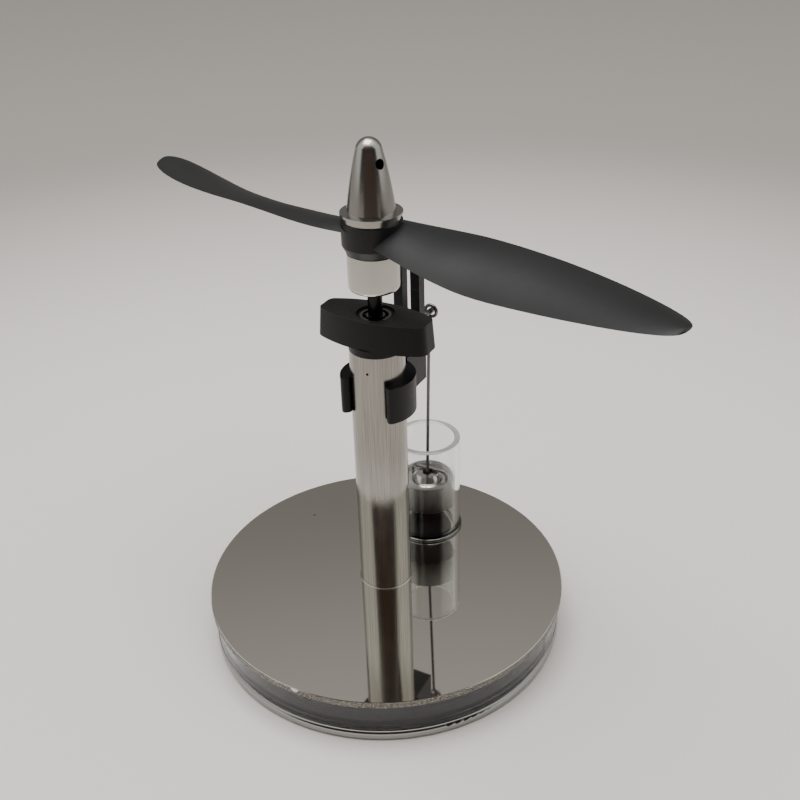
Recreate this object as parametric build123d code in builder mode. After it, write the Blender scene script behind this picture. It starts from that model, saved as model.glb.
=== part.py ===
"""Hot air engine for small temperature differences, with an upright shaft and a propeller on top.

The origin is the centre of the underside of the base, on the axis of the column, with +Z up.
The power cylinder stands behind the column in +Y, and the column clip opens towards -Y.
The engine is drawn part way through the upward stroke of its power piston.
"""

import os
from math import asin, atan, cos, degrees, pi, radians, sin, sqrt, tan

from build123d import *

# Base: two plates with a clear wall between them
PLATE_RADIUS = 50.0
DECK = 14.0                    # height of the upper face of the mirror plate
PLATE_THICKNESS = 2.0
BOTTOM_PLATE_RADIUS = 49.4
BOTTOM_PLATE_THICKNESS = 3.0
WALL_RADIUS = 49.0
WALL_THICKNESS = 3.0
SEAL_THICKNESS = 0.5
SEAL_INSET = 0.5
BOTTOM_EDGE_ROUND = 1.2
FINE_CHAMFER = 0.2

# Displacer and its drive
DISPLACER_RADIUS = 43.5
DISPLACER_THICKNESS = 4.4
DISPLACER_FOOT = 5.3
DISPLACER_STROKE = 3.8
DISPLACER_ROD_RADIUS = 1.25
ROD_RUNNING_FIT = 0.05
YOKE_FOOT = 62.0
YOKE_THICKNESS = 2.5
YOKE_RADIUS = 5.7
PRONG_THICKNESS = 0.95
PRONG_WIDTH = 2.4
PRONG_ABOVE_CAM = 2.0             # from the middle of the cam to the tip of a prong
CAM_RADIUS = 4.3
CAM_HEIGHT = 9.0
CAM_CENTRE = 72.5
CAM_GROOVE_WIDTH = 1.5
CAM_GROOVE_DEPTH = 1.2
FOLLOWER_RADIUS = 0.55
FOLLOWER_GAP = 0.3

# Column and head
TUBE_RADIUS = 7.18
TUBE_BORE = 6.1
TUBE_TOP = DECK + 73.1
FOOT_RING_RADIUS = 7.5
FOOT_RING_HEIGHT = 0.4
FOOT_RING_CHAMFER = 0.2
GLAND_RADIUS = 3.0
GLAND_FLANGE = 4.0
HEAD_BOTTOM = DECK + 75.0
HEAD_TOP = DECK + 82.5
HEAD_HALF_LENGTH = 15.4
HEAD_HALF_WIDTH = 6.9
HEAD_END_HALF = 3.2
HEAD_CORNER = 2.6
HEAD_TAPER = 4.5
PLUG_BOTTOM = 83.0
POCKET_RADIUS = 5.3
POCKET_TOP = 92.6
SEAT_RADIUS = 4.85
SEAT_DEPTH = 0.5
PIN_HOLE_RADIUS = 0.35
PIN_HOLE_HEIGHT = 82.7
PIN_HOLE_ANGLE = -82.0

# Bearings, both alike
BEARING_RADIUS = 4.0
BEARING_HEIGHT = 3.0
OUTER_RACE_BORE = 3.3
INNER_RACE_RADIUS = 2.4
BALL_RADIUS = 0.43
BALL_COUNT = 7
LOWER_BEARING = 79.4
UPPER_BEARING = HEAD_TOP - SEAT_DEPTH - BEARING_HEIGHT
CARRIER_LIP = 0.5
CARRIER_LIP_BORE = 2.9

# Main shaft, with a slanting journal for the rocker
SHAFT_RADIUS = 1.85
SHAFT_TOP = DECK + 104.0
JOURNAL_TILT = 15.0
JOURNAL_RADIUS = 1.5
JOURNAL_HALF_LENGTH = 3.4
WEB_RADIUS = 3.0
WEB_THICKNESS = 1.2
WEB_OFFSET = 3.0
WEB_CLEARANCE = 0.3

# Rocker: a hub on the slanting journal and a wire arm that ends at the connecting rod
ROCKER_HEIGHT = 88.0
CYLINDER_REACH = 26.9          # from the column to the power cylinder
REST_DROP = 2.1                # the rod eye stands this far below the rocker's centre
HUB_RADIUS = 4.6
LINER_RADIUS = 3.35
LINER_BORE = 2.85
HUB_HEIGHT = 3.0
ARM_RADIUS = 0.75
ARM_END = 28.3
ARM_BEND = 1.5
EYE_OFFSET = 1.9
JOG_START = 21.5
JOG_END = 23.6
ARM_ROOT_DEPTH = 0.5            # how far the wire's square end starts inside the hub's rim

# Fork bracket, clipped round the column
CLIP_RADIUS = 9.8
CLIP_BOTTOM = DECK + 55.5
CLIP_TOP = DECK + 65.5
CLIP_OPENING = 86.0
CLIP_END_ROUND = 1.0
BRACKET_HALF_WIDTH = 4.0
BRACKET_FRONT = 8.5
BRACKET_BACK = 19.5
POST_FRONT = 16.5
POST_HALF_WIDTH = 3.8
POST_TOP = DECK + 91.0
SLOT_HALF_WIDTH = 1.2
SLOT_BOTTOM = 80.5
POST_ROUND = 0.8

# Power cylinder
GLASS_RADIUS = 9.75
GLASS_BORE = 8.1
GLASS_TOP = DECK + 31.3
GLASS_RIM_ROUND = 0.5
CYLINDER_SEAT_RADIUS = 10.3
CYLINDER_SEAT_HEIGHT = 0.9
CYLINDER_SEAT_ROUND = 0.42
PORT_RADIUS = 7.2

# Power piston and connecting rod
PISTON_FIT = 0.05
PISTON_BOTTOM = DECK + 9.3
PISTON_TOP = DECK + 18.0
PISTON_FLOOR = 2.7
PISTON_CHAMFER = 0.3
INSERT_RADIUS = 6.9
INSERT_TOP = PISTON_TOP - 0.8
INSERT_POCKET = 4.2
INSERT_FLOOR = 1.5
INSERT_POCKET_CHAMFER = 0.5
BALL_JOINT_RADIUS = 1.3
BALL_JOINT_HEIGHT = 29.0
SOCKET_RADIUS = 4.0
SOCKET_TOP_RADIUS = 3.1
SOCKET_FIT = 0.1
SOCKET_TOP = DECK + 19.0
CLIP_WIRE_RADIUS = 0.5
CLIP_SPAN = 5.6
CLIP_RISE = 2.4
CLIP_WIRE_BEND = 1.6
CLIP_WIRE_BEHIND = 1.3
ROD_WIRE_RADIUS = 0.475
EYE_MIDDLE_RADIUS = 1.65
ROD_OFF_EYE_CENTRE = 0.6        # the rod meets its eye this far to one side of the middle

# Propeller and its clamp
COLLAR_RADIUS = 6.45
COLLAR_BOTTOM = DECK + 89.2
COLLAR_ROUND = 1.2
COLLAR_CHAMFER = 0.3
STUD_RADIUS = 3.0
STUD_TOP = DECK + 118.0
STUD_CONE_RADIUS = 4.3
STUD_CONE_HEIGHT = 7.5
STUD_SLIT = 0.6
STUD_FOOT_INSET = 0.8
STUD_END_GAP = 0.5              # free bore of the nut above the end of the stud
HUB_BOTTOM = DECK + 99.0
HUB_TOP = DECK + 106.9
PROP_HUB_RADIUS = 7.5
PROP_HUB_BEVEL = 1.0
PROP_REST_ANGLE = -14.5
BLADE_HEIGHT = DECK + 103.2
CLAMP_WASHER_RADIUS = 7.0
CLAMP_WASHER_TOP = DECK + 108.5
NUT_FLANGE_RADIUS = 7.6
NUT_FLANGE_THICKNESS = 0.5
NUT_RADIUS = 5.95
NUT_FLANK_RADIUS = 4.6
NUT_FLANK_HEIGHT = 8.5
NUT_TOP = DECK + 126.6
NOSE_RADIUS = 3.25
NOSE_ANGLE = 67.0
TOMMY_HOLE_RADIUS = 1.2
TOMMY_HOLE_HEIGHT = DECK + 121.0
TOMMY_HOLE_ANGLE = -20.0

# Values that follow from the driving dimensions
NUT_BOTTOM = CLAMP_WASHER_TOP
FLOOR_OF_DECK = DECK - PLATE_THICKNESS
REST_TILT = degrees(atan(REST_DROP / CYLINDER_REACH))
ROCKER_CENTRE = Vector(0, 0, ROCKER_HEIGHT)
EYE_HEIGHT = ROCKER_HEIGHT - REST_DROP
CYLINDER_PLANE = Plane(origin=(0, CYLINDER_REACH, 0))
ARM_PLANE = Plane(
    origin=ROCKER_CENTRE,
    x_dir=(1, 0, 0),
    z_dir=(0, sin(radians(REST_TILT)), cos(radians(REST_TILT))),
)


# ---------------------------------------------------------------- base

with BuildPart() as bottom_plate:
    with BuildSketch(Plane.XY):
        Circle(BOTTOM_PLATE_RADIUS)
    extrude(amount=BOTTOM_PLATE_THICKNESS)
    fillet(bottom_plate.edges().filter_by(GeomType.CIRCLE), BOTTOM_EDGE_ROUND)
bottom_plate.part.label = "bottom_plate"

with BuildPart() as lower_seal:
    with BuildSketch(Plane.XY.offset(BOTTOM_PLATE_THICKNESS)):
        Circle(WALL_RADIUS - SEAL_INSET)
        Circle(WALL_RADIUS - WALL_THICKNESS + SEAL_INSET, mode=Mode.SUBTRACT)
    extrude(amount=SEAL_THICKNESS)
lower_seal.part.label = "lower_seal"

with BuildPart() as chamber_wall:
    with BuildSketch(Plane.XY.offset(BOTTOM_PLATE_THICKNESS + SEAL_THICKNESS)):
        Circle(WALL_RADIUS)
        Circle(WALL_RADIUS - WALL_THICKNESS, mode=Mode.SUBTRACT)
    extrude(amount=FLOOR_OF_DECK - BOTTOM_PLATE_THICKNESS - 2 * SEAL_THICKNESS)
chamber_wall.part.label = "chamber_wall"

with BuildPart() as upper_seal:
    with BuildSketch(Plane.XY.offset(FLOOR_OF_DECK - SEAL_THICKNESS)):
        Circle(WALL_RADIUS - SEAL_INSET)
        Circle(WALL_RADIUS - WALL_THICKNESS + SEAL_INSET, mode=Mode.SUBTRACT)
    extrude(amount=SEAL_THICKNESS)
upper_seal.part.label = "upper_seal"

with BuildPart() as mirror_plate:
    with BuildSketch(Plane.XY.offset(FLOOR_OF_DECK)):
        Circle(PLATE_RADIUS)
        Circle(GLAND_RADIUS, mode=Mode.SUBTRACT)
        with Locations((0, CYLINDER_REACH)):
            Circle(PORT_RADIUS, mode=Mode.SUBTRACT)
    extrude(amount=PLATE_THICKNESS)
    rim = mirror_plate.edges().filter_by(GeomType.CIRCLE).filter_by(lambda e: e.radius > WALL_RADIUS)
    chamfer(rim, FINE_CHAMFER)
mirror_plate.part.label = "mirror_plate"


# ---------------------------------------------------------------- displacer

with BuildPart() as displacer:
    with BuildSketch(Plane.XY.offset(DISPLACER_FOOT)):
        Circle(DISPLACER_RADIUS)
        Circle(DISPLACER_ROD_RADIUS, mode=Mode.SUBTRACT)
    extrude(amount=DISPLACER_THICKNESS)
displacer.part.label = "displacer"

with BuildPart() as displacer_rod:
    with BuildSketch(Plane.XY.offset(DISPLACER_FOOT)):
        Circle(DISPLACER_ROD_RADIUS)
    extrude(amount=YOKE_FOOT + YOKE_THICKNESS - DISPLACER_FOOT)
displacer_rod.part.label = "displacer_rod"

with BuildPart() as rod_gland:
    with BuildSketch(Plane.XY.offset(FLOOR_OF_DECK)):
        Circle(GLAND_RADIUS)
    extrude(amount=PLATE_THICKNESS)
    with BuildSketch(Plane.XY.offset(DECK)):
        Circle(TUBE_BORE)
    extrude(amount=GLAND_FLANGE)
    with BuildSketch(Plane.XY.offset(FLOOR_OF_DECK)):
        Circle(DISPLACER_ROD_RADIUS + ROD_RUNNING_FIT)
    extrude(amount=PLATE_THICKNESS + GLAND_FLANGE, mode=Mode.SUBTRACT)
rod_gland.part.label = "rod_gland"

# The cam is a barrel with a slanting groove, which lifts the yoke once in each turn.
CAM_SLANT = degrees(atan(DISPLACER_STROKE / 2 / CAM_RADIUS))
CAM_GROOVE_PLANE = Plane(
    origin=(0, 0, CAM_CENTRE),
    x_dir=(1, 0, 0),
    z_dir=(0, -sin(radians(CAM_SLANT)), cos(radians(CAM_SLANT))),
)
with BuildPart() as displacer_cam:
    with BuildSketch(Plane.XY.offset(CAM_CENTRE - CAM_HEIGHT / 2)):
        Circle(CAM_RADIUS)
        Circle(SHAFT_RADIUS, mode=Mode.SUBTRACT)
    extrude(amount=CAM_HEIGHT)
    with BuildSketch(CAM_GROOVE_PLANE):
        Circle(CAM_RADIUS + 2)
        Circle(CAM_RADIUS - CAM_GROOVE_DEPTH, mode=Mode.SUBTRACT)
    extrude(amount=CAM_GROOVE_WIDTH / 2, both=True, mode=Mode.SUBTRACT)
displacer_cam.part.label = "displacer_cam"

# One prong of the yoke carries the follower pin, and the other balances it.
PRONG_MIDDLE = YOKE_RADIUS - PRONG_THICKNESS / 2
with BuildPart() as displacer_yoke:
    with BuildSketch(Plane.XY.offset(YOKE_FOOT)):
        Circle(YOKE_RADIUS)
        Circle(DISPLACER_ROD_RADIUS, mode=Mode.SUBTRACT)
    extrude(amount=YOKE_THICKNESS)
    with BuildSketch(Plane.XY.offset(YOKE_FOOT)):
        with Locations((PRONG_MIDDLE, 0), (-PRONG_MIDDLE, 0)):
            Rectangle(PRONG_THICKNESS, PRONG_WIDTH)
    extrude(amount=CAM_CENTRE + PRONG_ABOVE_CAM - YOKE_FOOT)
    with BuildSketch(Plane.YZ.offset(CAM_RADIUS + FOLLOWER_GAP)):
        with Locations((0, CAM_CENTRE)):
            Circle(FOLLOWER_RADIUS)
    extrude(amount=PRONG_THICKNESS)
displacer_yoke.part.label = "displacer_yoke"


# ---------------------------------------------------------------- column

with BuildPart() as tube_foot_ring:
    with BuildSketch(Plane.XY.offset(DECK)):
        Circle(FOOT_RING_RADIUS)
        Circle(TUBE_RADIUS, mode=Mode.SUBTRACT)
    extrude(amount=FOOT_RING_HEIGHT)
    outer_rim = tube_foot_ring.edges().group_by(Axis.Z)[-1].sort_by(SortBy.RADIUS)[-1]
    chamfer(outer_rim, FOOT_RING_CHAMFER)
tube_foot_ring.part.label = "tube_foot_ring"

ARM_NOTCH_HALF_WIDTH = 1.7
ARM_NOTCH_BOTTOM = 84.0
ARM_NOTCH_TOP = 91.7
with BuildPart() as column_tube:
    with BuildSketch(Plane.XY.offset(DECK)):
        Circle(TUBE_RADIUS)
        Circle(TUBE_BORE, mode=Mode.SUBTRACT)
    extrude(amount=TUBE_TOP - DECK)
    with BuildSketch(Plane.XZ):
        with Locations((0, (ARM_NOTCH_BOTTOM + TUBE_TOP) / 2)):
            Rectangle(2 * ARM_NOTCH_HALF_WIDTH, TUBE_TOP - ARM_NOTCH_BOTTOM)
    extrude(amount=-TUBE_RADIUS, mode=Mode.SUBTRACT)
    pin_direction = Vector(1, 0, 0).rotate(Axis.Z, PIN_HOLE_ANGLE)
    with BuildSketch(Plane(origin=(0, 0, PIN_HOLE_HEIGHT), z_dir=pin_direction)):
        Circle(PIN_HOLE_RADIUS)
    extrude(amount=TUBE_RADIUS + 1, mode=Mode.SUBTRACT)
column_tube.part.label = "column_tube"

with BuildPart() as bearing_carrier:
    with BuildSketch(Plane.XY.offset(LOWER_BEARING - CARRIER_LIP)):
        Circle(TUBE_BORE)
        Circle(CARRIER_LIP_BORE, mode=Mode.SUBTRACT)
    extrude(amount=CARRIER_LIP)
    with BuildSketch(Plane.XY.offset(LOWER_BEARING)):
        Circle(TUBE_BORE)
        Circle(BEARING_RADIUS, mode=Mode.SUBTRACT)
    extrude(amount=BEARING_HEIGHT)
bearing_carrier.part.label = "bearing_carrier"

bearings = []
for position, height in (("lower", LOWER_BEARING), ("upper", UPPER_BEARING)):
    with BuildPart() as outer_race:
        with BuildSketch(Plane.XY.offset(height)):
            Circle(BEARING_RADIUS)
            Circle(OUTER_RACE_BORE, mode=Mode.SUBTRACT)
        extrude(amount=BEARING_HEIGHT)
    outer_race.part.label = f"{position}_bearing_outer_race"

    with BuildPart() as inner_race:
        with BuildSketch(Plane.XY.offset(height)):
            Circle(INNER_RACE_RADIUS)
            Circle(SHAFT_RADIUS, mode=Mode.SUBTRACT)
        extrude(amount=BEARING_HEIGHT)
    inner_race.part.label = f"{position}_bearing_inner_race"

    with BuildPart(Plane.XY.offset(height + BEARING_HEIGHT / 2)) as balls:
        with PolarLocations((OUTER_RACE_BORE + INNER_RACE_RADIUS) / 2, BALL_COUNT):
            Sphere(BALL_RADIUS)
    balls.part.label = f"{position}_bearing_balls"
    bearings += [outer_race, inner_race, balls]

# The head is a printed block with bowed sides and round ends, plugged into the top of the tube.
with BuildPart() as head_block:
    with BuildSketch(Plane.XY.offset(HEAD_BOTTOM)) as head_outline:
        with BuildLine():
            front = ThreePointArc(
                (-HEAD_HALF_LENGTH, -HEAD_END_HALF),
                (0, -HEAD_HALF_WIDTH),
                (HEAD_HALF_LENGTH, -HEAD_END_HALF),
            )
            back = mirror(front, about=Plane.XZ)
            Line(front @ 0, back @ 0)
            Line(front @ 1, back @ 1)
        make_face()
        fillet(head_outline.vertices(), HEAD_CORNER)
    extrude(amount=HEAD_TOP - HEAD_BOTTOM, taper=HEAD_TAPER)
    with BuildSketch(Plane.XY.offset(TUBE_TOP)):
        Circle(TUBE_RADIUS)
    extrude(amount=HEAD_BOTTOM - TUBE_TOP)
    with BuildSketch(Plane.XY.offset(PLUG_BOTTOM)):
        Circle(TUBE_BORE)
    extrude(amount=TUBE_TOP - PLUG_BOTTOM)
    with BuildSketch(Plane.XY.offset(PLUG_BOTTOM)):
        Circle(POCKET_RADIUS)
    extrude(amount=POCKET_TOP - PLUG_BOTTOM, mode=Mode.SUBTRACT)
    with BuildSketch(Plane.XY.offset(POCKET_TOP)):
        Circle(WEB_RADIUS + WEB_CLEARANCE)
    extrude(amount=UPPER_BEARING - POCKET_TOP, mode=Mode.SUBTRACT)
    with BuildSketch(Plane.XY.offset(UPPER_BEARING)):
        Circle(BEARING_RADIUS)
    extrude(amount=BEARING_HEIGHT, mode=Mode.SUBTRACT)
    with BuildSketch(Plane.XY.offset(HEAD_TOP - SEAT_DEPTH)):
        Circle(SEAT_RADIUS)
    extrude(amount=SEAT_DEPTH, mode=Mode.SUBTRACT)
    with BuildSketch(Plane.XZ):
        with Locations((0, (PLUG_BOTTOM + ARM_NOTCH_TOP) / 2)):
            Rectangle(2 * ARM_NOTCH_HALF_WIDTH, ARM_NOTCH_TOP - PLUG_BOTTOM)
    extrude(amount=-HEAD_HALF_WIDTH - 1, mode=Mode.SUBTRACT)
head_block.part.label = "head_block"


# ---------------------------------------------------------------- main shaft

# The journal leans by its tilt in the direction that puts the rocker arm at its resting slope.
JOURNAL_DIRECTION = asin(tan(radians(REST_TILT)) / tan(radians(JOURNAL_TILT)))
JOURNAL_AXIS = Vector(
    sin(radians(JOURNAL_TILT)) * cos(JOURNAL_DIRECTION),
    sin(radians(JOURNAL_TILT)) * sin(JOURNAL_DIRECTION),
    cos(radians(JOURNAL_TILT)),
)
UPPER_WEB = ROCKER_HEIGHT + WEB_OFFSET
LOWER_WEB = ROCKER_HEIGHT - WEB_OFFSET - WEB_THICKNESS
SHAFT_BOTTOM = CAM_CENTRE - CAM_HEIGHT / 2
with BuildPart() as main_shaft:
    with BuildSketch(Plane.XY.offset(SHAFT_BOTTOM)):
        Circle(SHAFT_RADIUS)
    extrude(amount=LOWER_WEB - SHAFT_BOTTOM)
    with BuildSketch(Plane.XY.offset(LOWER_WEB)):
        Circle(WEB_RADIUS)
    extrude(amount=WEB_THICKNESS)
    with BuildSketch(Plane(origin=ROCKER_CENTRE, z_dir=JOURNAL_AXIS)):
        Circle(JOURNAL_RADIUS)
    extrude(amount=JOURNAL_HALF_LENGTH, both=True)
    with BuildSketch(Plane.XY.offset(UPPER_WEB)):
        Circle(WEB_RADIUS)
    extrude(amount=WEB_THICKNESS)
    with BuildSketch(Plane.XY.offset(UPPER_WEB + WEB_THICKNESS)):
        Circle(SHAFT_RADIUS)
    extrude(amount=SHAFT_TOP - UPPER_WEB - WEB_THICKNESS)
main_shaft.part.label = "main_shaft"


# ---------------------------------------------------------------- rocker

with BuildPart() as wobble_hub:
    with BuildSketch(ARM_PLANE):
        Circle(HUB_RADIUS)
        Circle(LINER_RADIUS, mode=Mode.SUBTRACT)
    extrude(amount=HUB_HEIGHT / 2, both=True)
wobble_hub.part.label = "wobble_hub"

with BuildPart() as hub_liner:
    with BuildSketch(ARM_PLANE):
        Circle(LINER_RADIUS)
        Circle(LINER_BORE, mode=Mode.SUBTRACT)
    extrude(amount=HUB_HEIGHT / 2, both=True)
hub_liner.part.label = "hub_liner"

# The arm is one length of wire with a jog that lines its end up with the rod eye. Its root
# is trimmed to the round outer face of the hub.
with BuildPart() as rocker_arm:
    with BuildLine(ARM_PLANE) as arm_path:
        FilletPolyline(
            (0, HUB_RADIUS - ARM_ROOT_DEPTH),
            (0, JOG_START),
            (EYE_OFFSET, JOG_END),
            (EYE_OFFSET, ARM_END),
            radius=ARM_BEND,
        )
    with BuildSketch(Plane(origin=arm_path.line @ 0, z_dir=arm_path.line % 0)):
        Circle(ARM_RADIUS)
    sweep()
    with BuildSketch(ARM_PLANE):
        Circle(HUB_RADIUS)
    extrude(amount=HUB_HEIGHT / 2, both=True, mode=Mode.SUBTRACT)
rocker_arm.part.label = "rocker_arm"


# ---------------------------------------------------------------- fork bracket

with BuildPart() as fork_bracket:
    with BuildSketch(Plane.XY.offset(CLIP_BOTTOM)):
        Circle(CLIP_RADIUS)
        Circle(TUBE_RADIUS, mode=Mode.SUBTRACT)
        with BuildLine():
            reach = 2 * CLIP_RADIUS
            half_opening = reach * tan(radians(CLIP_OPENING / 2))
            Polyline((0, 0), (-half_opening, -reach), (half_opening, -reach), close=True)
        make_face(mode=Mode.SUBTRACT)
    extrude(amount=CLIP_TOP - CLIP_BOTTOM)
    arm_ends = fork_bracket.faces().filter_by(GeomType.PLANE).filter_by(Axis.Z, reverse=True)
    fillet(arm_ends.edges().filter_by(Axis.Z), CLIP_END_ROUND)
    with BuildSketch(Plane.XY.offset(CLIP_BOTTOM)):
        with Locations((0, (BRACKET_FRONT + BRACKET_BACK) / 2)):
            Rectangle(2 * BRACKET_HALF_WIDTH, BRACKET_BACK - BRACKET_FRONT)
    extrude(amount=SLOT_BOTTOM - CLIP_BOTTOM)
    with BuildSketch(Plane.XZ.offset(-BRACKET_BACK)) as post_outline:
        with Locations((0, (CLIP_BOTTOM + POST_TOP) / 2)):
            Rectangle(2 * POST_HALF_WIDTH, POST_TOP - CLIP_BOTTOM)
        fillet(post_outline.vertices().group_by(Axis.Z)[-1], POST_ROUND)
        with Locations((0, SLOT_BOTTOM + SLOT_HALF_WIDTH)):
            Circle(SLOT_HALF_WIDTH, mode=Mode.SUBTRACT)
        with Locations((0, (SLOT_BOTTOM + SLOT_HALF_WIDTH + POST_TOP + 1) / 2)):
            Rectangle(2 * SLOT_HALF_WIDTH, POST_TOP + 1 - SLOT_BOTTOM - SLOT_HALF_WIDTH, mode=Mode.SUBTRACT)
    extrude(amount=BRACKET_BACK - POST_FRONT)
fork_bracket.part.label = "fork_bracket"


# ---------------------------------------------------------------- power cylinder

with BuildPart() as cylinder_seat:
    with BuildSketch(CYLINDER_PLANE.offset(DECK)):
        Circle(CYLINDER_SEAT_RADIUS)
        Circle(GLASS_BORE, mode=Mode.SUBTRACT)
    extrude(amount=CYLINDER_SEAT_HEIGHT)
    outside = cylinder_seat.edges().filter_by(GeomType.CIRCLE).filter_by(lambda e: e.radius > GLASS_RADIUS)
    fillet(outside, CYLINDER_SEAT_ROUND)
cylinder_seat.part.label = "cylinder_seat"

with BuildPart() as glass_cylinder:
    with BuildSketch(CYLINDER_PLANE.offset(DECK + CYLINDER_SEAT_HEIGHT)):
        Circle(GLASS_RADIUS)
        Circle(GLASS_BORE, mode=Mode.SUBTRACT)
    extrude(amount=GLASS_TOP - DECK - CYLINDER_SEAT_HEIGHT)
    fillet(glass_cylinder.edges().group_by(Axis.Z)[-1], GLASS_RIM_ROUND)
glass_cylinder.part.label = "glass_cylinder"

INSERT_BOTTOM = PISTON_BOTTOM + PISTON_FLOOR
with BuildPart() as power_piston:
    with BuildSketch(CYLINDER_PLANE.offset(PISTON_BOTTOM)):
        Circle(GLASS_BORE - PISTON_FIT)
    extrude(amount=PISTON_TOP - PISTON_BOTTOM)
    chamfer(power_piston.edges().group_by(Axis.Z)[0], PISTON_CHAMFER)
    with BuildSketch(CYLINDER_PLANE.offset(INSERT_BOTTOM)):
        Circle(INSERT_RADIUS)
    extrude(amount=PISTON_TOP - INSERT_BOTTOM, mode=Mode.SUBTRACT)
power_piston.part.label = "power_piston"

with BuildPart() as piston_insert:
    with BuildSketch(CYLINDER_PLANE.offset(INSERT_BOTTOM)):
        Circle(INSERT_RADIUS)
    extrude(amount=INSERT_TOP - INSERT_BOTTOM)
    with BuildSketch(CYLINDER_PLANE.offset(INSERT_BOTTOM + INSERT_FLOOR)):
        Circle(INSERT_POCKET)
    extrude(amount=INSERT_TOP - INSERT_BOTTOM - INSERT_FLOOR, mode=Mode.SUBTRACT)
    pocket_rim = piston_insert.edges().group_by(Axis.Z)[-1].sort_by(SortBy.RADIUS)[0]
    chamfer(pocket_rim, INSERT_POCKET_CHAMFER)
piston_insert.part.label = "piston_insert"

SOCKET_BOTTOM = INSERT_BOTTOM + INSERT_FLOOR
SOCKET_BORE = BALL_JOINT_RADIUS + SOCKET_FIT
with BuildPart() as ball_socket:
    with BuildSketch(Plane.XZ.offset(-CYLINDER_REACH)):
        with BuildLine():
            Polyline(
                (SOCKET_BORE, SOCKET_BOTTOM),
                (SOCKET_RADIUS, SOCKET_BOTTOM),
                (SOCKET_RADIUS, INSERT_TOP),
                (SOCKET_TOP_RADIUS, SOCKET_TOP),
                (SOCKET_BORE, SOCKET_TOP),
                close=True,
            )
        make_face()
    revolve(axis=Axis((0, CYLINDER_REACH, 0), (0, 0, 1)))
ball_socket.part.label = "ball_socket"

CLIP_WIRE_PLANE = Plane.XZ.offset(-CYLINDER_REACH - CLIP_WIRE_BEHIND)
with BuildPart() as piston_clip:
    with BuildLine(CLIP_WIRE_PLANE) as clip_path:
        FilletPolyline(
            (-CLIP_SPAN, INSERT_TOP),
            (-CLIP_SPAN, INSERT_TOP + CLIP_RISE),
            (CLIP_SPAN, INSERT_TOP + CLIP_RISE),
            (CLIP_SPAN, INSERT_TOP),
            radius=CLIP_WIRE_BEND,
        )
    with BuildSketch(Plane(origin=clip_path.line @ 0, z_dir=clip_path.line % 0)):
        Circle(CLIP_WIRE_RADIUS)
    sweep()
piston_clip.part.label = "piston_clip"

BALL_JOINT = Vector(0, CYLINDER_REACH, BALL_JOINT_HEIGHT)
EYE_FOOT = Vector(
    EYE_OFFSET - ROD_OFF_EYE_CENTRE,
    CYLINDER_REACH,
    EYE_HEIGHT - sqrt(EYE_MIDDLE_RADIUS**2 - ROD_OFF_EYE_CENTRE**2),
)
with BuildPart() as connecting_rod:
    with Locations(BALL_JOINT):
        Sphere(BALL_JOINT_RADIUS)
    with BuildSketch(Plane(origin=BALL_JOINT, z_dir=EYE_FOOT - BALL_JOINT)):
        Circle(ROD_WIRE_RADIUS)
    extrude(amount=(EYE_FOOT - BALL_JOINT).length)
    with Locations((EYE_OFFSET, CYLINDER_REACH, EYE_HEIGHT)):
        Torus(EYE_MIDDLE_RADIUS, ROD_WIRE_RADIUS, rotation=(90, 0, 0))
connecting_rod.part.label = "connecting_rod"


# ---------------------------------------------------------------- propeller and clamp

CONE_BOTTOM = COLLAR_BOTTOM + STUD_FOOT_INSET
CONE_TOP = CONE_BOTTOM + STUD_CONE_HEIGHT
with BuildPart() as prop_collar:
    with BuildSketch(Plane.XY.offset(COLLAR_BOTTOM)):
        Circle(COLLAR_RADIUS)
    extrude(amount=HUB_BOTTOM - COLLAR_BOTTOM)
    fillet(prop_collar.edges().group_by(Axis.Z)[0], COLLAR_ROUND)
    chamfer(prop_collar.edges().group_by(Axis.Z)[-1], COLLAR_CHAMFER)
    with BuildSketch(Plane.XZ):
        with BuildLine():
            Polyline(
                (0, COLLAR_BOTTOM),
                (STUD_CONE_RADIUS, COLLAR_BOTTOM),
                (STUD_CONE_RADIUS, CONE_BOTTOM),
                (STUD_RADIUS, CONE_TOP),
                (STUD_RADIUS, HUB_BOTTOM),
                (0, HUB_BOTTOM),
                close=True,
            )
        make_face()
    revolve(axis=Axis.Z, mode=Mode.SUBTRACT)
prop_collar.part.label = "prop_collar"

with BuildPart() as collet_stud:
    with BuildSketch(Plane.XZ):
        with BuildLine():
            Polyline(
                (SHAFT_RADIUS, CONE_BOTTOM),
                (STUD_CONE_RADIUS, CONE_BOTTOM),
                (STUD_RADIUS, CONE_TOP),
                (STUD_RADIUS, STUD_TOP),
                (0, STUD_TOP),
                (0, SHAFT_TOP),
                (SHAFT_RADIUS, SHAFT_TOP),
                close=True,
            )
        make_face()
    revolve(axis=Axis.Z)
    for angle in (0, 90):
        with BuildSketch(Plane.XY.offset(CONE_BOTTOM)):
            Rectangle(4 * STUD_CONE_RADIUS, STUD_SLIT, rotation=angle)
        extrude(amount=STUD_CONE_HEIGHT, mode=Mode.SUBTRACT)
collet_stud.part.label = "collet_stud"

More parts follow.
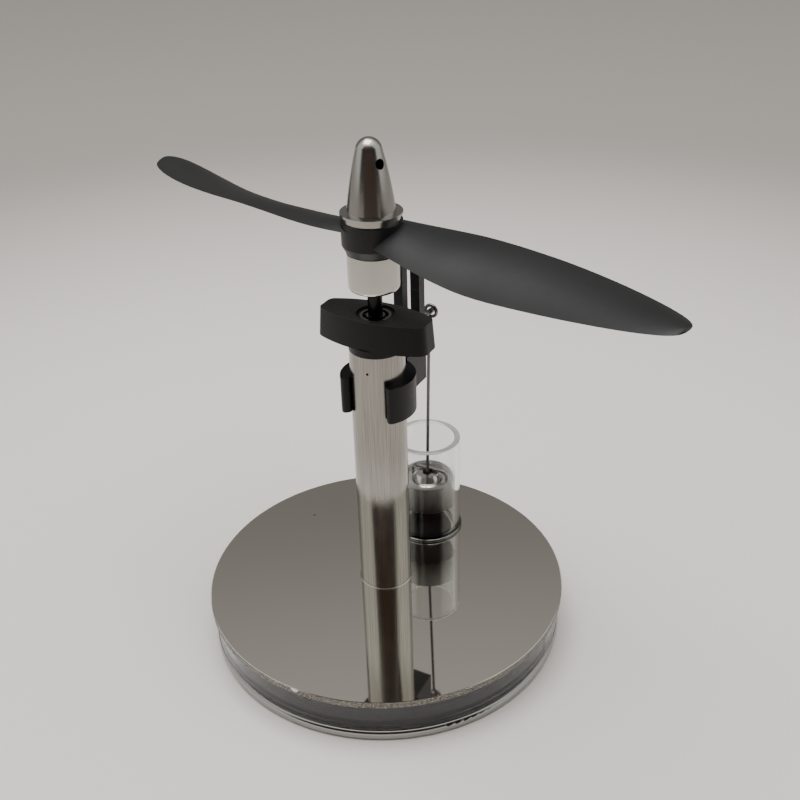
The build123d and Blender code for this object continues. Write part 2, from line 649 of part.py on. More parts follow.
# Each blade is lofted through thin sections, crowned above and nearly flat below. The chord
# is widest a third of the way out, the pitch falls outwards, and the tip is round and raised.
# The first sections lie inside the hub, so the blade runs smoothly out of it.
BLADE_RADIUS = 84.9
BLADE_STATIONS = 24
BLADE_END_FLAT = 0.1            # the last section stands this far inside the tip
ROOT_CHORD = 11.9
WIDEST_CHORD = 18.8
WIDEST_AT = 32.0
TIP_FULLNESS = 3.2              # a larger value makes the end of the blade blunter
ROOT_PITCH = 12.0
STEEPEST_PITCH = 20.4
PITCH_FROM = 6.0
STEEPEST_AT = 36.0
BLADE_OFFSET = 1.4              # how far the middle of the chord lies ahead of the radius
TIP_SWEEP = 4.2
SWEPT_FROM = 46.0
ROOT_RISE = 0.8
LOWEST_RISE = -0.6
LOWEST_AT = 34.0
TIP_RISE = 1.8
TIP_CROWN = 0.35
CROWN_SHARE = 0.075             # crown height gained per unit chord
ROOT_CROWN = 1.25
ROOT_CROWN_REACH = 15.0
CROWN_SHIFT = 0.08              # the crown stands this share of the chord towards the leading edge
BELLY_SHARE = 0.35              # depth of the lower face, per unit crown height


def share(radius, start, end):
    """How far a radius lies from start to end, held between 0 and 1."""
    return min(max((radius - start) / (end - start), 0.0), 1.0)


def blade_chord(radius):
    if radius < WIDEST_AT:
        return WIDEST_CHORD - (WIDEST_CHORD - ROOT_CHORD) * share(radius, WIDEST_AT, 0) ** 2
    return WIDEST_CHORD * (1 - share(radius, WIDEST_AT, BLADE_RADIUS) ** 1.7) ** (1 / TIP_FULLNESS)


def blade_pitch(radius):
    if radius < STEEPEST_AT:
        eased = (1 - cos(pi * share(radius, PITCH_FROM, STEEPEST_AT))) / 2
        return ROOT_PITCH + (STEEPEST_PITCH - ROOT_PITCH) * eased
    return STEEPEST_PITCH * (1 - share(radius, STEEPEST_AT, BLADE_RADIUS) ** 1.5)


def blade_sweep(radius):
    return BLADE_OFFSET - TIP_SWEEP * share(radius, SWEPT_FROM, BLADE_RADIUS) ** 1.7


def blade_rise(radius):
    if radius < LOWEST_AT:
        return LOWEST_RISE + (ROOT_RISE - LOWEST_RISE) * share(radius, LOWEST_AT, 0) ** 1.2
    return LOWEST_RISE + (TIP_RISE - LOWEST_RISE) * share(radius, LOWEST_AT, BLADE_RADIUS) ** 2


def blade_crown(radius):
    near_root = 1 - share(radius, 0, ROOT_CROWN_REACH)
    return TIP_CROWN + CROWN_SHARE * blade_chord(radius) + ROOT_CROWN * near_root


with BuildPart() as propeller:
    with BuildSketch(Plane.XY.offset(HUB_BOTTOM)):
        Circle(PROP_HUB_RADIUS)
    extrude(amount=HUB_TOP - HUB_BOTTOM)
    chamfer(propeller.edges().group_by(Axis.Z)[0], length=2 * PROP_HUB_BEVEL, length2=PROP_HUB_BEVEL)
    for angle in (PROP_REST_ANGLE, PROP_REST_ANGLE + 180):
        outward = Vector(1, 0, 0).rotate(Axis.Z, angle)
        sideways = Vector(0, 1, 0).rotate(Axis.Z, angle)
        for station in range(BLADE_STATIONS + 1):
            radius = (BLADE_RADIUS - BLADE_END_FLAT) * sin(pi / 2 * station / BLADE_STATIONS)
            chord = blade_chord(radius)
            crown = blade_crown(radius)
            pitch = radians(blade_pitch(radius))
            chord_direction = sideways * cos(pitch) + Vector(0, 0, sin(pitch))
            height = BLADE_HEIGHT + blade_rise(radius)
            middle = outward * radius + sideways * blade_sweep(radius) + Vector(0, 0, height)
            with BuildSketch(Plane(origin=middle, x_dir=chord_direction, z_dir=outward)):
                with BuildLine():
                    ThreePointArc((-chord / 2, 0), (CROWN_SHIFT * chord, crown), (chord / 2, 0))
                    ThreePointArc((chord / 2, 0), (0, -BELLY_SHARE * crown), (-chord / 2, 0))
                make_face()
        loft()
    with BuildSketch(Plane.XY.offset(HUB_BOTTOM)):
        Circle(STUD_RADIUS)
    extrude(amount=HUB_TOP - HUB_BOTTOM, mode=Mode.SUBTRACT)
propeller.part.label = "propeller"

with BuildPart() as clamp_washer:
    with BuildSketch(Plane.XY.offset(HUB_TOP)):
        Circle(CLAMP_WASHER_RADIUS)
        Circle(STUD_RADIUS, mode=Mode.SUBTRACT)
    extrude(amount=CLAMP_WASHER_TOP - HUB_TOP)
clamp_washer.part.label = "clamp_washer"

NUT_SHOULDER = NUT_BOTTOM + NUT_FLANGE_THICKNESS
nose_centre = Vector(0, NUT_TOP - NOSE_RADIUS)
nose_edge = nose_centre + Vector(sin(radians(NOSE_ANGLE)), cos(radians(NOSE_ANGLE))) * NOSE_RADIUS
nose_middle = nose_centre + Vector(sin(radians(NOSE_ANGLE / 2)), cos(radians(NOSE_ANGLE / 2))) * NOSE_RADIUS
nut_flank = Vector(NUT_FLANK_RADIUS, NUT_SHOULDER + NUT_FLANK_HEIGHT)
with BuildPart() as spinner_nut:
    with BuildSketch(Plane.XZ):
        with BuildLine():
            Polyline((0, NUT_BOTTOM), (NUT_FLANGE_RADIUS, NUT_BOTTOM), (NUT_FLANGE_RADIUS, NUT_SHOULDER))
            Line((NUT_FLANGE_RADIUS, NUT_SHOULDER), (NUT_RADIUS, NUT_SHOULDER))
            ThreePointArc((NUT_RADIUS, NUT_SHOULDER), nut_flank, nose_edge)
            ThreePointArc(nose_edge, nose_middle, (0, NUT_TOP))
            Line((0, NUT_TOP), (0, NUT_BOTTOM))
        make_face()
    revolve(axis=Axis.Z)
    with BuildSketch(Plane.XY.offset(NUT_BOTTOM)):
        Circle(STUD_RADIUS)
    extrude(amount=STUD_TOP + STUD_END_GAP - NUT_BOTTOM, mode=Mode.SUBTRACT)
    hole_direction = Vector(1, 0, 0).rotate(Axis.Z, TOMMY_HOLE_ANGLE)
    with BuildSketch(Plane(origin=(0, 0, TOMMY_HOLE_HEIGHT), z_dir=hole_direction)):
        Circle(TOMMY_HOLE_RADIUS)
    extrude(amount=NUT_RADIUS, both=True, mode=Mode.SUBTRACT)
spinner_nut.part.label = "spinner_nut"


# ---------------------------------------------------------------- files

pieces = [
    bottom_plate, lower_seal, chamber_wall, upper_seal, mirror_plate,
    displacer, displacer_rod, rod_gland, displacer_cam, displacer_yoke,
    tube_foot_ring, column_tube, bearing_carrier, *bearings, head_block,
    main_shaft, wobble_hub, hub_liner, rocker_arm, fork_bracket,
    cylinder_seat, glass_cylinder, power_piston, piston_insert, ball_socket,
    piston_clip, connecting_rod,
    prop_collar, collet_stud, propeller, clamp_washer, spinner_nut,
]
os.makedirs("parts", exist_ok=True)
for piece in pieces:
    export_step(piece.part, f"parts/{piece.part.label}.step")
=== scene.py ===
"""A small hot air engine with a propeller: the materials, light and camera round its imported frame."""
import math

import bpy
from mathutils import Matrix, Vector


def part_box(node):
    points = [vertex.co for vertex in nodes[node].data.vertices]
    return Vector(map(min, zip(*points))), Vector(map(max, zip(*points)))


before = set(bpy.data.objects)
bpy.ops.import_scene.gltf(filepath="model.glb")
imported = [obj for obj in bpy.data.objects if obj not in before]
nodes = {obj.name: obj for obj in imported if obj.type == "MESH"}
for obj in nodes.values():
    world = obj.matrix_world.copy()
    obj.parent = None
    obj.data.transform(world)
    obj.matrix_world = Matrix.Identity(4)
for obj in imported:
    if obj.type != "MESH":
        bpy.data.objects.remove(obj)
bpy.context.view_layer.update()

MM = 0.001

# ---------------------------------------------------------------- camera

CAMERA_PLACE = Vector((118.388, -205.054, 207.771)) * MM
CAMERA_PITCH = 0.523172         # downwards
CAMERA_YAW = -0.500592          # from +Y towards +X
CAMERA_ROLL = -0.029956
CAMERA_LENS = 47.217            # on a 36 mm sensor

AHEAD = Vector((math.sin(CAMERA_YAW), math.cos(CAMERA_YAW), 0.0))
ASIDE = Vector((math.cos(CAMERA_YAW), -math.sin(CAMERA_YAW), 0.0))


def make_camera():
    """Looks down at the engine by about 30 degrees, from its right front."""
    forward = AHEAD * math.cos(CAMERA_PITCH) - Vector((0.0, 0.0, math.sin(CAMERA_PITCH)))
    level_up = ASIDE.cross(forward)
    right = ASIDE * math.cos(CAMERA_ROLL) + level_up * math.sin(CAMERA_ROLL)
    up = right.cross(forward)
    turn = Matrix((right, up, -forward)).transposed()
    data = bpy.data.cameras.new("camera")
    data.lens = CAMERA_LENS
    data.sensor_width = 36.0
    data.clip_start = 0.01
    data.clip_end = 50.0
    camera = bpy.data.objects.new("camera", data)
    camera.matrix_world = Matrix.Translation(CAMERA_PLACE) @ turn.to_4x4()
    bpy.context.collection.objects.link(camera)
    bpy.context.scene.camera = camera


# ---------------------------------------------------------------- node helpers

class Shader:
    """A material with one Principled shader, and short ways to feed it."""

    def __init__(self, name, color, metallic, roughness, **constants):
        self.material = bpy.data.materials.new(name)
        self.material.use_nodes = True
        self.tree = self.material.node_tree
        self.principled = self.tree.nodes["Principled BSDF"]
        self.set("Base Color", (*color, 1.0))
        self.set("Metallic", metallic)
        self.set("Roughness", roughness)
        for socket, value in constants.items():
            self.set(socket.replace("_", " "), value)

    def set(self, socket, value):
        self.principled.inputs[socket].default_value = value

    def node(self, kind, **settings):
        made = self.tree.nodes.new("ShaderNode" + kind)
        for key, value in settings.items():
            setattr(made, key, value)
        return made

    def link(self, source, target):
        self.tree.links.new(source, target)

    def place(self, scale=(1.0, 1.0, 1.0)):
        """The object's own coordinates in millimetres, stretched."""
        coordinates = self.node("TexCoord")
        mapping = self.node("Mapping")
        mapping.inputs["Scale"].default_value = [s / MM for s in scale]
        self.link(coordinates.outputs["Object"], mapping.inputs["Vector"])
        return mapping.outputs["Vector"]

    def noise(self, scale, size=1.0, detail=3.0, roughness=0.55):
        """Noise whose grain is about 1/scale millimetres along each axis."""
        noise = self.node("TexNoise")
        noise.inputs["Scale"].default_value = size
        noise.inputs["Detail"].default_value = detail
        noise.inputs["Roughness"].default_value = roughness
        self.link(self.place(scale), noise.inputs["Vector"])
        return noise.outputs["Fac"]

    def banded(self, detail=3.0, **parts):
        """Noise that changes only along the parts given, each a socket for X, Y or Z."""
        stack = self.node("CombineXYZ")
        for part, value in parts.items():
            self.link(value, stack.inputs[part])
        noise = self.node("TexNoise")
        noise.inputs["Scale"].default_value = 1.0
        noise.inputs["Detail"].default_value = detail
        self.link(stack.outputs["Vector"], noise.inputs["Vector"])
        return noise.outputs["Fac"]

    def ranged(self, value, low, high, start=0.0, end=1.0, smooth=False):
        ranged = self.node("MapRange")
        if smooth:
            ranged.interpolation_type = "SMOOTHSTEP"
        for socket, number in (("From Min", start), ("From Max", end), ("To Min", low), ("To Max", high)):
            ranged.inputs[socket].default_value = number
        self.link(value, ranged.inputs["Value"])
        return ranged.outputs["Result"]

    def math(self, operation, first, second=0.0):
        made = self.node("Math", operation=operation)
        for socket, value in zip(made.inputs, (first, second)):
            if isinstance(value, (int, float)):
                socket.default_value = value
            else:
                self.link(value, socket)
        return made.outputs["Value"]

    def mixed(self, factor, first, second):
        """A colour between two colours, or between a colour and a socket."""
        made = self.node("Mix", data_type="RGBA")
        self.link(factor, made.inputs["Factor"])
        for socket, value in ((made.inputs[6], first), (made.inputs[7], second)):
            if isinstance(value, tuple):
                socket.default_value = (*value, 1.0)
            else:
                self.link(value, socket)
        return made.outputs[2]

    def axes(self, centre=(0.0, 0.0)):
        """Radius from an upright axis and height, both in millimetres."""
        split = self.node("SeparateXYZ")
        self.link(self.place(), split.inputs["Vector"])
        x = self.math("SUBTRACT", split.outputs["X"], centre[0])
        y = self.math("SUBTRACT", split.outputs["Y"], centre[1])
        radius = self.math("SQRT", self.math("ADD", self.math("MULTIPLY", x, x), self.math("MULTIPLY", y, y)))
        return radius, split.outputs["Z"]

    def near(self, point, reach):
        """1 within reach of a point, both in millimetres, and 0 elsewhere."""
        distance = self.node("VectorMath", operation="DISTANCE")
        self.link(self.place(), distance.inputs[0])
        distance.inputs[1].default_value = point
        return self.math("LESS_THAN", distance.outputs["Value"], reach)

    def feed(self, socket, value):
        self.link(value, self.principled.inputs[socket])

    def bump(self, height, depth, strength=1.0):
        """Relief with the given depth in millimetres."""
        made = self.node("Bump")
        made.inputs["Strength"].default_value = strength
        made.inputs["Distance"].default_value = depth * MM
        self.link(height, made.inputs["Height"])
        if self.principled.inputs["Normal"].is_linked:
            self.link(self.principled.inputs["Normal"].links[0].from_socket, made.inputs["Normal"])
        self.feed("Normal", made.outputs["Normal"])

    def lets_lamps_through(self):
        """Glass that casts no dark shadow."""
        path = self.node("LightPath")
        clear = self.node("BsdfTransparent")
        mix = self.node("MixShader")
        output = self.tree.nodes["Material Output"]
        self.link(path.outputs["Is Shadow Ray"], mix.inputs["Fac"])
        self.link(self.principled.outputs["BSDF"], mix.inputs[1])
        self.link(clear.outputs["BSDF"], mix.inputs[2])
        self.link(mix.outputs["Shader"], output.inputs["Surface"])


# ---------------------------------------------------------------- materials

PLATE_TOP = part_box("mirror_plate")[1].z / MM
PLATE_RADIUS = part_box("mirror_plate")[1].x / MM
GLASS_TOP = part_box("glass_cylinder")[1].z / MM
PISTON_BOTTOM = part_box("power_piston")[0].z / MM
PISTON_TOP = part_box("power_piston")[1].z / MM
HEAD_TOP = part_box("head_block")[1].z / MM
HOLE_HEIGHT = 135.0             # the cross hole of the cone nut
HOLE_ANGLE = -20.0
HOLE_RADIUS = 1.22              # just past its wall
# where a painted glint sits on the plate's edge
EDGE_GLINT_PLACE = (0.8, -PLATE_RADIUS, PLATE_TOP)
DIRT_PLACE = (-33.5, 14.9, PLATE_TOP)


def mirror_plate():
    """A darkish mirror with faint smears and a speck of dirt, and a rough sawn edge with a painted glint
    where it is chipped.
    """
    silver = (0.72, 0.69, 0.635)
    shader = Shader("mirror_plate_look", silver, 1.0, 0.03)
    radius, _ = shader.axes()
    edge = shader.math("GREATER_THAN", radius, PLATE_RADIUS - 0.08)
    smears = shader.noise((0.05, 0.02, 0.05), detail=4.0)
    grit = shader.noise((2.6, 2.6, 3.4), detail=5.0, roughness=0.7)
    specks = shader.ranged(grit, 0.0, 1.0, 0.45, 0.70)
    rough_edge = shader.mixed(specks, (0.10, 0.092, 0.080), (0.72, 0.69, 0.62))
    # painted highlight: a near-white spot on the chipped edge stands in for a glint
    painted_glint = shader.math("MULTIPLY", shader.near(EDGE_GLINT_PLACE, 1.1), edge)
    glinting_edge = shader.mixed(painted_glint, rough_edge, (0.95, 0.95, 0.93))
    dirt = shader.near(DIRT_PLACE, 0.3)
    face = shader.mixed(dirt, silver, (0.10, 0.09, 0.08))
    shader.feed("Base Color", shader.mixed(edge, face, glinting_edge))
    polish = shader.ranged(smears, 0.012, 0.05, 0.35, 0.7)
    shader.feed("Roughness", shader.math("ADD", polish, shader.math("MULTIPLY", edge, 0.38)))
    shader.bump(shader.math("MULTIPLY", specks, edge), 0.12)
    return shader.material


def turned_metal(name, color, roughness, ridge, centre=(0.0, 0.0), depth=0.004, grain=4.0):
    """Metal cut on a lathe, with fine rings round the axis at its centre."""
    shader = Shader(name, color, 1.0, roughness)
    radius, height = shader.axes(centre)
    rings = shader.banded(X=shader.math("MULTIPLY", radius, grain), Y=shader.math("MULTIPLY", height, grain))
    patches = shader.noise((0.25, 0.25, 0.25))
    spread = shader.math("ADD", shader.math("MULTIPLY", rings, ridge), patches)
    shader.feed("Roughness", shader.ranged(spread, roughness * 0.7, roughness * 1.35, 0.3, 0.8 + ridge))
    shader.bump(rings, depth)
    return shader.material


def polished_nut():
    """Polished aluminium with faint rings, and painted shade that keeps the wall of its cross hole dark."""
    polish = (0.46, 0.45, 0.43)
    shader = Shader("polished_aluminium", polish, 1.0, 0.14)
    _, height = shader.axes()
    rings = shader.banded(Z=shader.math("MULTIPLY", height, 5.0))
    split = shader.node("SeparateXYZ")
    shader.link(shader.place(), split.inputs["Vector"])
    angle = math.radians(HOLE_ANGLE)
    aside = shader.math(
        "SUBTRACT",
        shader.math("MULTIPLY", split.outputs["Y"], math.cos(angle)),
        shader.math("MULTIPLY", split.outputs["X"], math.sin(angle)),
    )
    above = shader.math("SUBTRACT", height, HOLE_HEIGHT)
    aside_squared = shader.math("MULTIPLY", aside, aside)
    above_squared = shader.math("MULTIPLY", above, above)
    # painted shade: the cross hole's wall and a thin band round it are coloured near black
    painted_hole_shade = shader.math("LESS_THAN", shader.math("ADD", aside_squared, above_squared), HOLE_RADIUS ** 2)
    shader.feed("Base Color", shader.mixed(painted_hole_shade, polish, (0.035, 0.033, 0.03)))
    shader.feed("Roughness", shader.ranged(rings, 0.16, 0.27, 0.3, 0.7))
    shader.bump(rings, 0.003)
    return shader.material


def column_metal():
    """Drawn aluminium tube, brushed along its length, with painted shade darkening its upper part, and faint
    turning marks towards the head.
    """
    shader = Shader("column_metal", (0.42, 0.41, 0.375), 1.0, 0.2)
    grain = shader.noise((5.0, 5.0, 0.05), detail=4.0, roughness=0.65)
    fine = shader.noise((16.0, 16.0, 0.25), detail=2.0)
    stains = shader.noise((0.12, 0.12, 0.10), detail=3.0)
    _, height = shader.axes()
    marks = shader.banded(2.0, Z=shader.math("MULTIPLY", height, 2.4))
    near_head = shader.ranged(height, 0.0, 1.0, 50.0, 85.0, smooth=True)
    turned = shader.math("MULTIPLY", marks, near_head)
    # painted shade: from 36 to 60 mm up, the tube takes darker colours that stand in for a darker reflection
    upper = shader.ranged(height, 0.0, 1.0, 36.0, 60.0, smooth=True)
    colour = shader.ranged(grain, 0.0, 1.0, 0.3, 0.72)
    polish = shader.mixed(colour, (0.30, 0.293, 0.26), (0.56, 0.55, 0.505))
    painted_shade_tone = shader.mixed(colour, (0.19, 0.181, 0.160), (0.36, 0.345, 0.308))
    shader.feed("Base Color", shader.mixed(upper, polish, painted_shade_tone))
    blend = shader.math("ADD", shader.math("MULTIPLY", stains, 0.6), shader.math("MULTIPLY", turned, 0.5))
    shader.feed("Roughness", shader.ranged(blend, 0.10, 0.26, 0.15, 0.75))
    shader.bump(grain, 0.014)
    shader.bump(fine, 0.005)
    shader.bump(turned, 0.006)
    return shader.material


def printed_plastic():
    """Black printed plastic with fine layers and a slight gloss, and a painted sheen that makes the head's
    top face greyer.
    """
    shader = Shader("printed_plastic", (0.0020, 0.0023, 0.0031), 0.0, 0.42, Specular_IOR_Level=0.30)
    _, height = shader.axes()
    layers = shader.math("SINE", shader.math("MULTIPLY", height, 2.0 * math.pi / 0.2))
    grain = shader.noise((3.0, 3.0, 3.0), detail=3.0)
    # painted sheen: the head's top face is coloured greyer in place of its reflection
    painted_top_sheen = shader.math(
        "MULTIPLY",
        shader.math("GREATER_THAN", height, HEAD_TOP - 0.1),
        shader.math("LESS_THAN", height, HEAD_TOP + 0.1),
    )
    shader.feed("Base Color", shader.mixed(painted_top_sheen, (0.0020, 0.0023, 0.0031), (0.024, 0.024, 0.023)))
    shader.feed("Roughness", shader.ranged(grain, 0.34, 0.55, 0.3, 0.7))
    shader.bump(layers, 0.006)
    shader.bump(grain, 0.012)
    return shader.material


def moulded_plastic():
    """Charcoal nylon of the propeller, matte with a soft sheen."""
    shader = Shader("moulded_plastic", (0.010, 0.0105, 0.011), 0.0, 0.45, Specular_IOR_Level=0.35)
    cloud = shader.noise((0.06, 0.06, 0.06), detail=2.0)
    grain = shader.noise((6.0, 6.0, 6.0), detail=3.0)
    shader.feed("Base Color", shader.mixed(cloud, (0.0085, 0.0090, 0.0098), (0.0135, 0.0137, 0.0146)))
    shader.feed("Roughness", shader.ranged(grain, 0.40, 0.52, 0.3, 0.7))
    shader.bump(grain, 0.006)
    return shader.material


def wire_metal():
    """Drawn steel wire, greyish, with marks along its length."""
    shader = Shader("wire_metal", (0.15, 0.15, 0.148), 1.0, 0.3)
    grain = shader.noise((6.0, 6.0, 0.6), detail=3.0)
    shader.feed("Base Color", shader.mixed(grain, (0.10, 0.099, 0.096), (0.21, 0.208, 0.204)))
    shader.feed("Roughness", shader.ranged(grain, 0.22, 0.42, 0.3, 0.7))
    shader.bump(grain, 0.006)
    return shader.material


def clear_glass(name, tint, index, scratches, rim=None):
    """Clear glass or acrylic with faint handling marks, and a frosted band from the height rim upwards."""
    shader = Shader(name, tint, 0.0, 0.0, Transmission_Weight=1.0, IOR=index)
    marks = shader.noise((0.5, 0.5, 0.5), detail=5.0, roughness=0.7)
    haze = shader.ranged(marks, 0.0, scratches, 0.5, 0.8)
    if rim is not None:
        _, height = shader.axes()
        frosted = shader.ranged(height, 0.0, 1.0, rim, rim + 0.1)
        haze = shader.math("ADD", haze, shader.math("MULTIPLY", frosted, 0.5))
        clouded = shader.math("MULTIPLY", frosted, 0.35)
        shader.feed("Transmission Weight", shader.math("SUBTRACT", 1.0, clouded))
    shader.feed("Roughness", haze)
    shader.lets_lamps_through()
    return shader.material


def graphite():
    """Ground graphite with a dull metallic shine, with painted light making it brighter towards its top and
    painted shade making it darker towards its bottom.
    """
    shader = Shader("graphite", (0.24, 0.24, 0.235), 0.75, 0.33)
    grain = shader.noise((4.0, 4.0, 0.4), detail=4.0)
    _, height = shader.axes()
    # painted light and shade: lighter colours towards the top, darker towards the bottom
    painted_light_ramp = shader.ranged(height, 0.0, 1.0, PISTON_BOTTOM, PISTON_TOP - 1.0)
    dark = shader.mixed(grain, (0.035, 0.035, 0.034), (0.07, 0.07, 0.068))
    bright = shader.mixed(grain, (0.22, 0.22, 0.215), (0.38, 0.38, 0.37))
    shader.feed("Base Color", shader.mixed(painted_light_ramp, dark, bright))
    shader.feed("Roughness", shader.ranged(grain, 0.26, 0.44, 0.3, 0.7))
    shader.bump(grain, 0.006)
    return shader.material


def soft_black(name, low, high, roughness):
    """Rubber or foam, with a fine pitted grain."""
    shader = Shader(name, low, 0.0, roughness, Specular_IOR_Level=0.12)
    grain = shader.noise((2.2, 2.2, 2.2), detail=4.0)
    shader.feed("Base Color", shader.mixed(grain, low, high))
    shader.feed("Roughness", shader.ranged(grain, roughness - 0.08, roughness + 0.12, 0.3, 0.7))
    shader.bump(grain, 0.005)
    return shader.material


def dress():
    """Gives each CAD piece its finish."""
    low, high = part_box("glass_cylinder")
    cylinder = (0.0, (low.y + high.y) / 2 / MM)
    black = printed_plastic()
    wire = wire_metal()
    brass = turned_metal("brass", (0.70, 0.50, 0.22), 0.25, 0.4)
    bearing = turned_metal("bearing_steel", (0.20, 0.20, 0.205), 0.16, 0.3)
    satin = turned_metal("satin_aluminium", (0.47, 0.455, 0.41), 0.20, 0.8, depth=0.006)
    shaft = turned_metal("shaft_steel", (0.62, 0.62, 0.63), 0.12, 0.4, depth=0.002)
    blued = turned_metal("blued_steel", (0.022, 0.021, 0.021), 0.28, 0.4, depth=0.002)
    rubber = soft_black("seal_rubber", (0.010, 0.010, 0.010), (0.025, 0.024, 0.022), 0.6)
    finishes = {
        "mirror_plate": mirror_plate(),
        "bottom_plate": turned_metal("bottom_plate_metal", (0.36, 0.365, 0.35), 0.16, 0.4),
        "lower_seal": rubber,
        "upper_seal": rubber,
        "chamber_wall": clear_glass("acrylic", (0.52, 0.535, 0.56), 1.49, 0.03),
        "glass_cylinder": clear_glass("cylinder_glass", (0.985, 0.992, 0.988), 1.47, 0.05, GLASS_TOP - 0.5),
        "displacer": soft_black("displacer_foam", (0.010, 0.0105, 0.012), (0.013, 0.0135, 0.015), 0.75),
        "displacer_rod": shaft,
        "rod_gland": brass,
        "hub_liner": brass,
        "displacer_cam": black,
        "displacer_yoke": black,
        "bearing_carrier": black,
        "head_block": black,
        "fork_bracket": black,
        "wobble_hub": black,
        "ball_socket": turned_metal("socket_aluminium", (0.80, 0.79, 0.76), 0.20, 0.6, cylinder),
        "tube_foot_ring": satin,
        "column_tube": column_metal(),
        "main_shaft": blued,
        "rocker_arm": wire,
        "connecting_rod": wire,
        "piston_clip": wire,
        "cylinder_seat": turned_metal("seat_metal", (0.20, 0.205, 0.20), 0.08, 0.2, cylinder),
        "power_piston": graphite(),
        "piston_insert": turned_metal("insert_aluminium", (0.78, 0.77, 0.74), 0.22, 0.8, cylinder),
        "propeller": moulded_plastic(),
        "prop_collar": satin,
        "collet_stud": satin,
        "clamp_washer": satin,
        "spinner_nut": polished_nut(),
    }
    for name, node in nodes.items():
        finish = finishes.get(name, bearing)
        if not node.material_slots:
            node.data.materials.append(finish)
        for each in node.material_slots:
            each.material = finish


# ---------------------------------------------------------------- floor and light

FLOOR_RADIUS = 6.0
FLOOR_SIDES = 96


def make_floor():
    """A pale paper floor with painted shade that darkens it slowly with distance."""
    rim = [(FLOOR_RADIUS * math.cos(2 * math.pi * i / FLOOR_SIDES),
            FLOOR_RADIUS * math.sin(2 * math.pi * i / FLOOR_SIDES), 0.0) for i in range(FLOOR_SIDES)]
    mesh = bpy.data.meshes.new("floor")
    mesh.from_pydata(rim, [], [tuple(range(FLOOR_SIDES))])
    floor = bpy.data.objects.new("floor", mesh)
    bpy.context.collection.objects.link(floor)
    shader = Shader("paper", (0.78, 0.76, 0.745), 0.0, 0.7, Specular_IOR_Level=0.2)
    radius, _ = shader.axes()
    # painted shade: the floor's colour darkens from 140 to 520 mm out, in place of light falling off
    far = shader.ranged(radius, 0.0, 1.0, 140.0, 520.0, smooth=True)
    shader.feed("Base Color", shader.mixed(far, (0.90, 0.855, 0.835), (0.40, 0.372, 0.350)))
    mesh.materials.append(shader.material)


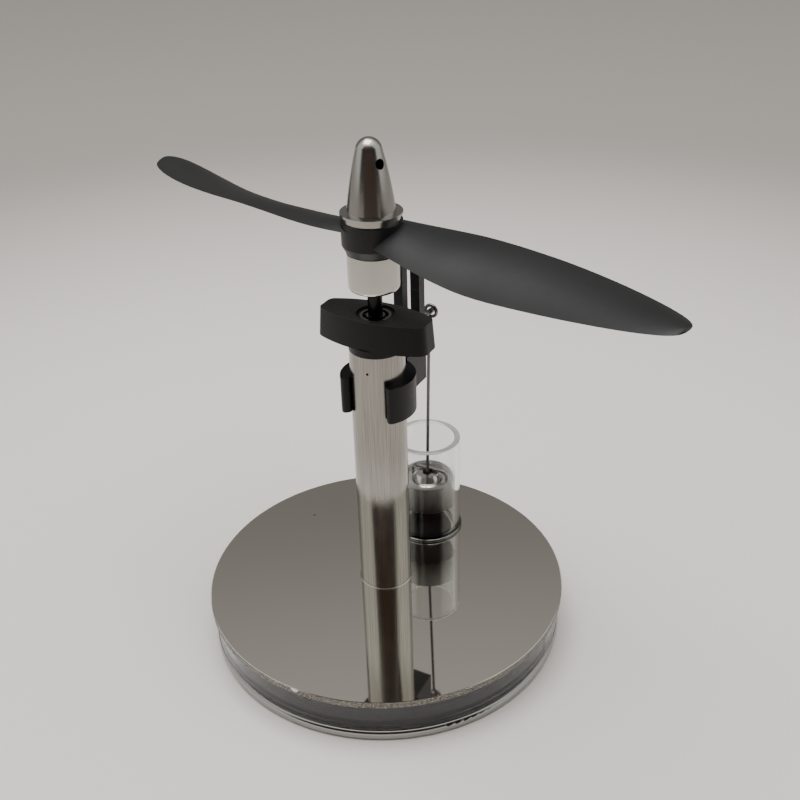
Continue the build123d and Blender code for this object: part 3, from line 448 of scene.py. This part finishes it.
def make_world():
    """A tent of soft light: bright at both sides and overhead, dim ahead, and dark behind the camera."""
    world = bpy.data.worlds.new("tent")
    bpy.context.scene.world = world
    world.use_nodes = True
    tree = world.node_tree
    tree.nodes.clear()

    def node(kind, **settings):
        made = tree.nodes.new("ShaderNode" + kind)
        for key, value in settings.items():
            setattr(made, key, value)
        return made

    def dot(direction):
        made = node("VectorMath", operation="DOT_PRODUCT")
        tree.links.new(coordinates.outputs["Generated"], made.inputs[0])
        made.inputs[1].default_value = direction
        return made.outputs["Value"]

    def ramp(value, stops):
        made = node("ValToRGB")
        made.color_ramp.interpolation = "EASE"
        while len(made.color_ramp.elements) < len(stops):
            made.color_ramp.elements.new(0.5)
        for element, (position, grey) in zip(made.color_ramp.elements, stops):
            element.position = position
            element.color = (*grey, 1.0)
        shifted = node("MapRange")
        shifted.inputs["From Min"].default_value = -1.0
        tree.links.new(value, shifted.inputs["Value"])
        tree.links.new(shifted.outputs["Result"], made.inputs["Fac"])
        return made.outputs["Color"]

    coordinates = node("TexCoord")
    # brightness by how far a direction points away from the camera (0 behind it, 1 ahead of it)
    round_about = ramp(dot(AHEAD), (
        (0.0, (0.03, 0.027, 0.026)),
        (0.21, (0.05, 0.045, 0.042)),
        (0.31, (0.95, 0.94, 0.90)),
        (0.62, (0.95, 0.94, 0.90)),
        (0.80, (0.30, 0.285, 0.27)),
        (1.0, (0.22, 0.21, 0.195)),
    ))
    # and by height (0 straight down, 1 straight up)
    overhead = ramp(dot((0.0, 0.0, 1.0)), (
        (0.78, (0.0, 0.0, 0.0)),
        (0.88, (0.20, 0.195, 0.185)),
        (0.97, (1.0, 0.98, 0.95)),
    ))
    total = node("Mix", data_type="RGBA", blend_type="ADD")
    total.inputs["Factor"].default_value = 1.0
    tree.links.new(round_about, total.inputs[6])
    tree.links.new(overhead, total.inputs[7])
    lighting = node("Background")
    tree.links.new(total.outputs[2], lighting.inputs["Color"])
    lighting.inputs["Strength"].default_value = 0.85
    seen = node("Background")
    seen.inputs["Color"].default_value = (0.36, 0.35, 0.335, 1.0)
    path = node("LightPath")
    mix = node("MixShader")
    output = node("OutputWorld")
    tree.links.new(path.outputs["Is Camera Ray"], mix.inputs["Fac"])
    tree.links.new(lighting.outputs["Background"], mix.inputs[1])
    tree.links.new(seen.outputs["Background"], mix.inputs[2])
    tree.links.new(mix.outputs["Shader"], output.inputs["Surface"])


def softbox(name, aside, ahead, height, size, power):
    """A square lamp that faces the engine. Its place is given as the camera sees it."""
    data = bpy.data.lights.new(name, "AREA")
    data.shape = "SQUARE"
    data.size = size
    data.energy = power
    lamp = bpy.data.objects.new(name, data)
    lamp.location = ASIDE * aside + AHEAD * ahead + Vector((0.0, 0.0, height))
    aim = Vector((0.0, 0.0, 0.07)) - lamp.location
    lamp.rotation_euler = aim.to_track_quat("-Z", "Y").to_euler()
    lamp.visible_camera = False
    bpy.context.collection.objects.link(lamp)


def painted_reflection_card(aside, ahead, low, high, width):
    """Stands where the photographer would, and shows only as a painted dark reflection, a stripe in bright
    metal.
    """
    middle = ASIDE * aside + AHEAD * ahead
    half = ASIDE * (width / 2)
    corners = [middle - half, middle + half, middle + half, middle - half]
    heights = (low, low, high, high)
    mesh = bpy.data.meshes.new("card")
    mesh.from_pydata([(c.x, c.y, z) for c, z in zip(corners, heights)], [], [(0, 1, 2, 3)])
    card = bpy.data.objects.new("card", mesh)
    bpy.context.collection.objects.link(card)
    shader = Shader("painted_reflection_black", (0.085, 0.060, 0.050), 0.0, 0.9, Specular_IOR_Level=0.0)
    mesh.materials.append(shader.material)
    card.visible_camera = False
    card.visible_diffuse = False
    card.visible_shadow = False
    card.visible_transmission = False


# ---------------------------------------------------------------- the scene

make_camera()
dress()
make_floor()
make_world()
painted_reflection_card(0.0, -0.42, 0.0, 0.50, 0.55)
softbox("overhead", -0.10, 0.05, 0.90, 0.60, 5.0)
